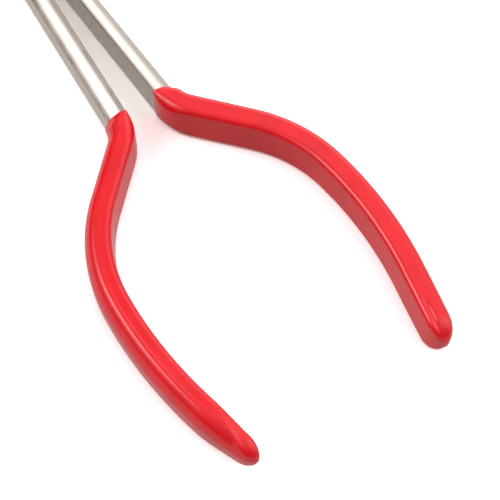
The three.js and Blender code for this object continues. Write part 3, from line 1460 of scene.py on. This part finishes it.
@dataclass(frozen=True)
class SoftLight:
    """A soft patch of light, far off in the room.

    Attributes:
        azimuth: Its direction round the object, from -Y towards +X, in degrees.
        elevation: Its height above the floor, in degrees.
        level: Its brightness in the middle, where 1 is white.
        tightness: How fast it fades around the middle.
    """

    azimuth: float
    elevation: float
    level: float
    tightness: float

    def strength(self, nodes: Nodes) -> NodeSocket:
        """Its brightness in the direction that the world is seen in.

        Args:
            nodes: The world's nodes.

        Returns:
            The brightness's socket.
        """
        seen = nodes.add("TexCoord").outputs["Generated"]
        towards = nodes.add("VectorMath", {0: seen, 1: direction(self.azimuth, self.elevation)},
                            operation="DOT_PRODUCT").outputs["Value"]
        fading = nodes.calculated("MULTIPLY_ADD", towards, self.tightness, -self.tightness)
        return nodes.calculated("MULTIPLY", nodes.calculated("EXPONENT", fading), self.level)


@dataclass
class Studio:
    """The white floor, the softly lit room and the camera.

    Attributes:
        camera_azimuth: The camera's direction from its aim, from -Y towards +X, in degrees.
        camera_elevation: Its height over the same point, in degrees.
        camera_distance: How far away it stands.
        camera_aim: The point that it looks at.
        lens: Its focal length in millimetres.
        sensor: Its sensor's width in millimetres.
        nearest: How near it still sees.
        floor_radius: The floor's radius.
        floor_sides: The steps round its edge.
        floor_drop: How far it lies under the pliers.
        floor_albedo: The grey that it is to the light.
        floor_white: The same to the camera, past 1 so that it clears to white.
        floor_glow: How bright it is in the plate and the vinyl.
        room_level: How bright the room is away from its lights.
        lights: The soft lights.
    """

    camera_azimuth: float = -32.12
    camera_elevation: float = 59.96
    camera_distance: float = 0.262
    camera_aim: Vector = field(default_factory=lambda: Vector((0.00207, -0.15314, 0.006)))
    lens: float = 72.45
    sensor: float = 36.0
    nearest: float = 10 * MM
    floor_radius: float = 0.5
    floor_sides: int = 96
    floor_drop: float = 0.02 * MM
    floor_albedo: float = 0.5
    floor_white: float = 1.65
    floor_glow: float = 0.18
    room_level: float = 0.05
    lights: tuple[SoftLight, ...] = (
        SoftLight(62.0, 49.0, 2.0, 6.8),
        SoftLight(60.0, 12.0, 0.8, 10.0),
        SoftLight(137.0, 26.0, 2.2, 12.0),
        SoftLight(0.0, 88.0, 0.4, 6.0),
        SoftLight(-110.0, 40.0, 0.7, 8.5),
        SoftLight(-128.0, 42.0, 5.8, 26.0),
    )

    def build(self) -> None:
        """Sets everything up."""
        self.floor()
        self.room()
        self.camera()
        bpy.context.scene.view_settings.view_transform = "Standard"

    def floor(self) -> None:
        """Lays a floor that looks white to the eye and in the plate, and still takes shadows."""
        bm = bmesh.new()
        bmesh.ops.create_circle(bm, cap_ends=True, segments=self.floor_sides,
                                radius=self.floor_radius)
        bmesh.ops.translate(bm, verts=bm.verts, vec=(0, 0, -self.floor_drop))
        piece = as_object(bm, "floor")
        nodes = Nodes(bpy.data.materials.new("white_floor"))
        path = nodes.add("LightPath").outputs
        mirrored = nodes.calculated("MAXIMUM", path["Is Glossy Ray"], path["Is Transmission Ray"])
        albedo = nodes.add("MapRange", {
            "Value": path["Is Camera Ray"], "To Min": self.floor_albedo,
            "To Max": self.floor_white}).outputs["Result"]
        matt = nodes.add("BsdfDiffuse", {"Color": albedo}).outputs[0]
        glow = nodes.calculated("MULTIPLY", mirrored, self.floor_glow)
        light = nodes.add("Emission", {"Strength": glow}).outputs[0]
        both = nodes.add("AddShader", {0: matt, 1: light})
        piece.data.materials.append(nodes.finish(both))

    def room(self) -> None:
        """Surrounds the floor with soft lights in a dim room that the camera sees as white."""
        nodes = Nodes(bpy.data.worlds.new("room"))
        seen = nodes.add("LightPath").outputs["Is Camera Ray"]
        level = nodes.add("MapRange", {
            "Value": seen, "To Min": self.room_level, "To Max": 1.0}).outputs["Result"]
        for light in self.lights:
            level = nodes.calculated("ADD", level, light.strength(nodes))
        background = nodes.add("Background", {"Color": (1.0, 1.0, 1.0, 1.0), "Strength": level})
        bpy.context.scene.world = nodes.finish(background)

    def camera(self) -> None:
        """Puts the camera where it sees the handles from above and to the left."""
        lens = bpy.data.cameras.new("camera")
        lens.lens = self.lens
        lens.sensor_width = self.sensor
        lens.clip_start = self.nearest
        holder = bpy.data.objects.new("camera", lens)
        back = direction(self.camera_azimuth, self.camera_elevation)
        holder.location = self.camera_aim + back * self.camera_distance
        holder.rotation_euler = back.to_track_quat("Z", "Y").to_euler()
        bpy.context.scene.collection.objects.link(holder)
        bpy.context.scene.camera = holder


# ---- the pliers ----


def main() -> None:
    """Builds the pliers piece by piece, then the studio."""
    logging.basicConfig(level=logging.INFO, format="%(message)s")
    plate = Nickel("satin_nickel", colour=(0.72, 0.645, 0.585), tarnish=(0.64, 0.545, 0.475),
                   roughness=0.28, streaks=0.0004 * MM, speckle=0.0005 * MM)
    steel = Nickel("turned_steel", colour=(0.66, 0.61, 0.56), tarnish=(0.58, 0.52, 0.46),
                   roughness=0.28, streaks=0.002 * MM, speckle=0.003 * MM)
    vinyl = DippedVinyl("red_vinyl", colour=(0.87, 0.0095, 0.018), roughness=0.16,
                        ripple=0.02 * MM)
    forging = Forging()
    pieces = []
    for side in Side:
        pieces += [forging.build(side, plate), Grip(forging).build(side, vinyl)]
    pieces.append(Rivet(forging.joint).build(steel))
    for piece in pieces:
        log.info("%s: %d faces", piece.name, len(piece.data.polygons))
    Studio().build()


if __name__ == "__main__":
    main()
